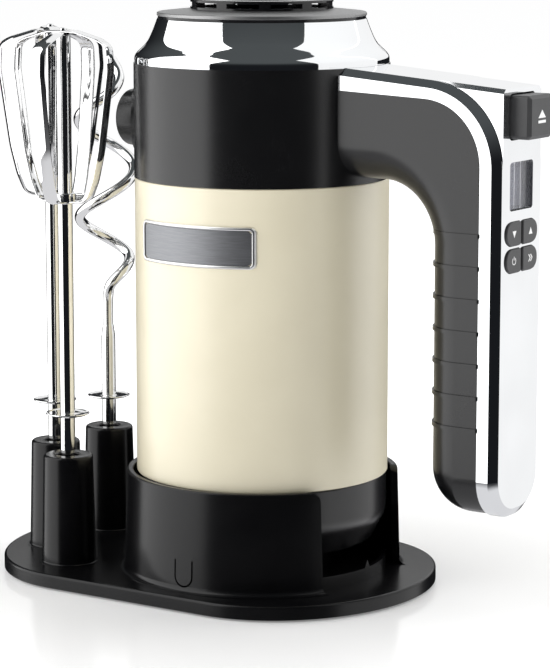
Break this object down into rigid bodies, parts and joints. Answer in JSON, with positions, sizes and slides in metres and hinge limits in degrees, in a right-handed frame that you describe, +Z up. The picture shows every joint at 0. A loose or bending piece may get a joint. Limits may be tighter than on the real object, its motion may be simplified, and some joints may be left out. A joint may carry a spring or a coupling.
{
  "type": "hand mixer",
  "caption": "Drum-shaped hand mixer with a hooked handle, worm-driven tool sockets and an ejector, standing in a storage stand with its beaters and dough hooks.",
  "frame": {"origin": "on the table, under the middle of the overall box", "axes": "+X towards the handle, -X towards the tool sockets, -Y towards the badge, +Z up along the motor shaft"},
  "size_m": [0.2478, 0.1326, 0.2433],
  "materials": {
    "stand_black": "satin",
    "foot_rubber": "matte",
    "cream_paint": "satin",
    "soft_black": "soft matte",
    "bright_chrome": "polished",
    "satin_disc": "fine circular brushing",
    "gloss_black": "gloss",
    "badge_satin": "satin",
    "display_glass": "gloss",
    "display_grey": "satin",
    "board_green": "satin",
    "switch_black": "matte",
    "key_grey": "satin",
    "tool_steel": "polished stainless steel",
    "spring_steel": "drawn wire",
    "nylon": "matte",
    "motor_steel": "zinc plated",
    "lamination": "stacked sheets",
    "copper": "enamelled wire",
    "bright_steel": "ground",
    "bronze": "sintered",
    "carbon": "matte",
    "case_grey": "matte"
  },
  "bodies": {
    "stand": {"stand_base": "stand_black", "stand_feet": "foot_rubber", "mixer_cup": "stand_black", "cord_tray": "stand_black", "tool_post_1": "stand_black", "tool_post_2": "stand_black", "tool_post_3": "stand_black", "tool_post_4": "stand_black"},
    "mixer": {"tail_cap": "soft_black", "cord_gland": "soft_black", "body_sleeve": "cream_paint", "collar_housing": "soft_black", "socket_boss": "soft_black", "nose_cover": "bright_chrome", "nose_plate": "satin_disc", "vent_grille": "gloss_black", "vent_cap": "bright_chrome", "badge_frame": "bright_chrome", "badge_plate": "badge_satin", "handle_shell": "soft_black", "handle_cover": "bright_chrome", "display_lens": "display_glass", "display_module": "display_grey", "control_board": "board_green", "key_switches": "switch_black", "eject_spring": "spring_steel", "motor_can": "motor_steel", "stator_core": "lamination", "field_coils": "copper", "motor_bearings": "bronze", "carbon_brushes": "carbon", "brush_holders": "bronze", "gear_case": "case_grey", "case_screws": "bright_steel", "spindle_bushes": "bronze"},
    "rotor": {"rotor_shaft": "bright_steel", "rotor_core": "lamination", "rotor_winding": "copper", "commutator": "copper", "cooling_fan": "case_grey"},
    "drive_1": {"spindle_1": "bright_steel", "worm_wheel_1": "nylon"},
    "drive_2": {"spindle_2": "bright_steel", "worm_wheel_2": "nylon"},
    "ejector": {"eject_button": "key_grey", "eject_rod": "nylon", "ejector_fork": "nylon"},
    "key_down": {"speed_down_key": "key_grey"},
    "key_up": {"speed_up_key": "key_grey"},
    "key_power": {"power_key": "key_grey"},
    "key_boost": {"boost_key": "key_grey"},
    "beater_1": {"beater_1_shaft": "tool_steel", "beater_1_blades": "tool_steel"},
    "beater_2": {"beater_2_shaft": "tool_steel", "beater_2_blades": "tool_steel"},
    "hook_1": {"dough_hook_1": "tool_steel"},
    "hook_2": {"dough_hook_2": "tool_steel"}
  },
  "joints": [
    {"name": "mixer_lift", "type": "slide", "parent": "stand", "child": "mixer", "axis": [0, 0, 1], "range_m": [0, 0.1]},
    {"name": "beater_1_lift", "type": "slide", "parent": "stand", "child": "beater_1", "axis": [0, 0, 1], "range_m": [0, 0.05]},
    {"name": "beater_2_lift", "type": "slide", "parent": "stand", "child": "beater_2", "axis": [0, 0, 1], "range_m": [0, 0.05]},
    {"name": "hook_1_lift", "type": "slide", "parent": "stand", "child": "hook_1", "axis": [0, 0, 1], "range_m": [0, 0.05]},
    {"name": "hook_2_lift", "type": "slide", "parent": "stand", "child": "hook_2", "axis": [0, 0, 1], "range_m": [0, 0.05]},
    {"name": "motor_spin", "type": "hinge", "parent": "mixer", "child": "rotor", "pos_m": [-0.0059, 0, 0.12], "axis": [0, 0, 1], "continuous": true},
    {"name": "drive_1_spin", "type": "hinge", "parent": "mixer", "child": "drive_1", "pos_m": [-0.0259, -0.015, 0.1936], "axis": [1, 0, 0], "continuous": true},
    {"name": "drive_2_spin", "type": "hinge", "parent": "mixer", "child": "drive_2", "pos_m": [-0.0259, 0.015, 0.1936], "axis": [1, 0, 0], "continuous": true},
    {"name": "eject_press", "type": "slide", "parent": "mixer", "child": "ejector", "axis": [-1, 0, 0], "range_m": [0, 0.006], "stiffness_N_per_m": 500, "springref_m": -0.008, "deforming": ["eject_spring"]},
    {"name": "speed_down_press", "type": "slide", "parent": "mixer", "child": "key_down", "axis": [-1, 0, 0], "range_m": [0, 0.001], "stiffness_N_per_m": 600, "springref_m": -0.002},
    {"name": "speed_up_press", "type": "slide", "parent": "mixer", "child": "key_up", "axis": [-1, 0, 0], "range_m": [0, 0.001], "stiffness_N_per_m": 600, "springref_m": -0.002},
    {"name": "power_press", "type": "slide", "parent": "mixer", "child": "key_power", "axis": [-1, 0, 0], "range_m": [0, 0.001], "stiffness_N_per_m": 600, "springref_m": -0.002},
    {"name": "boost_press", "type": "slide", "parent": "mixer", "child": "key_boost", "axis": [-1, 0, 0], "range_m": [0, 0.001], "stiffness_N_per_m": 600, "springref_m": -0.002}
  ],
  "couplings": [
    {"joint": "drive_1_spin", "follows": "motor_spin", "ratio": -0.045455},
    {"joint": "drive_2_spin", "follows": "motor_spin", "ratio": 0.045455}
  ]
}
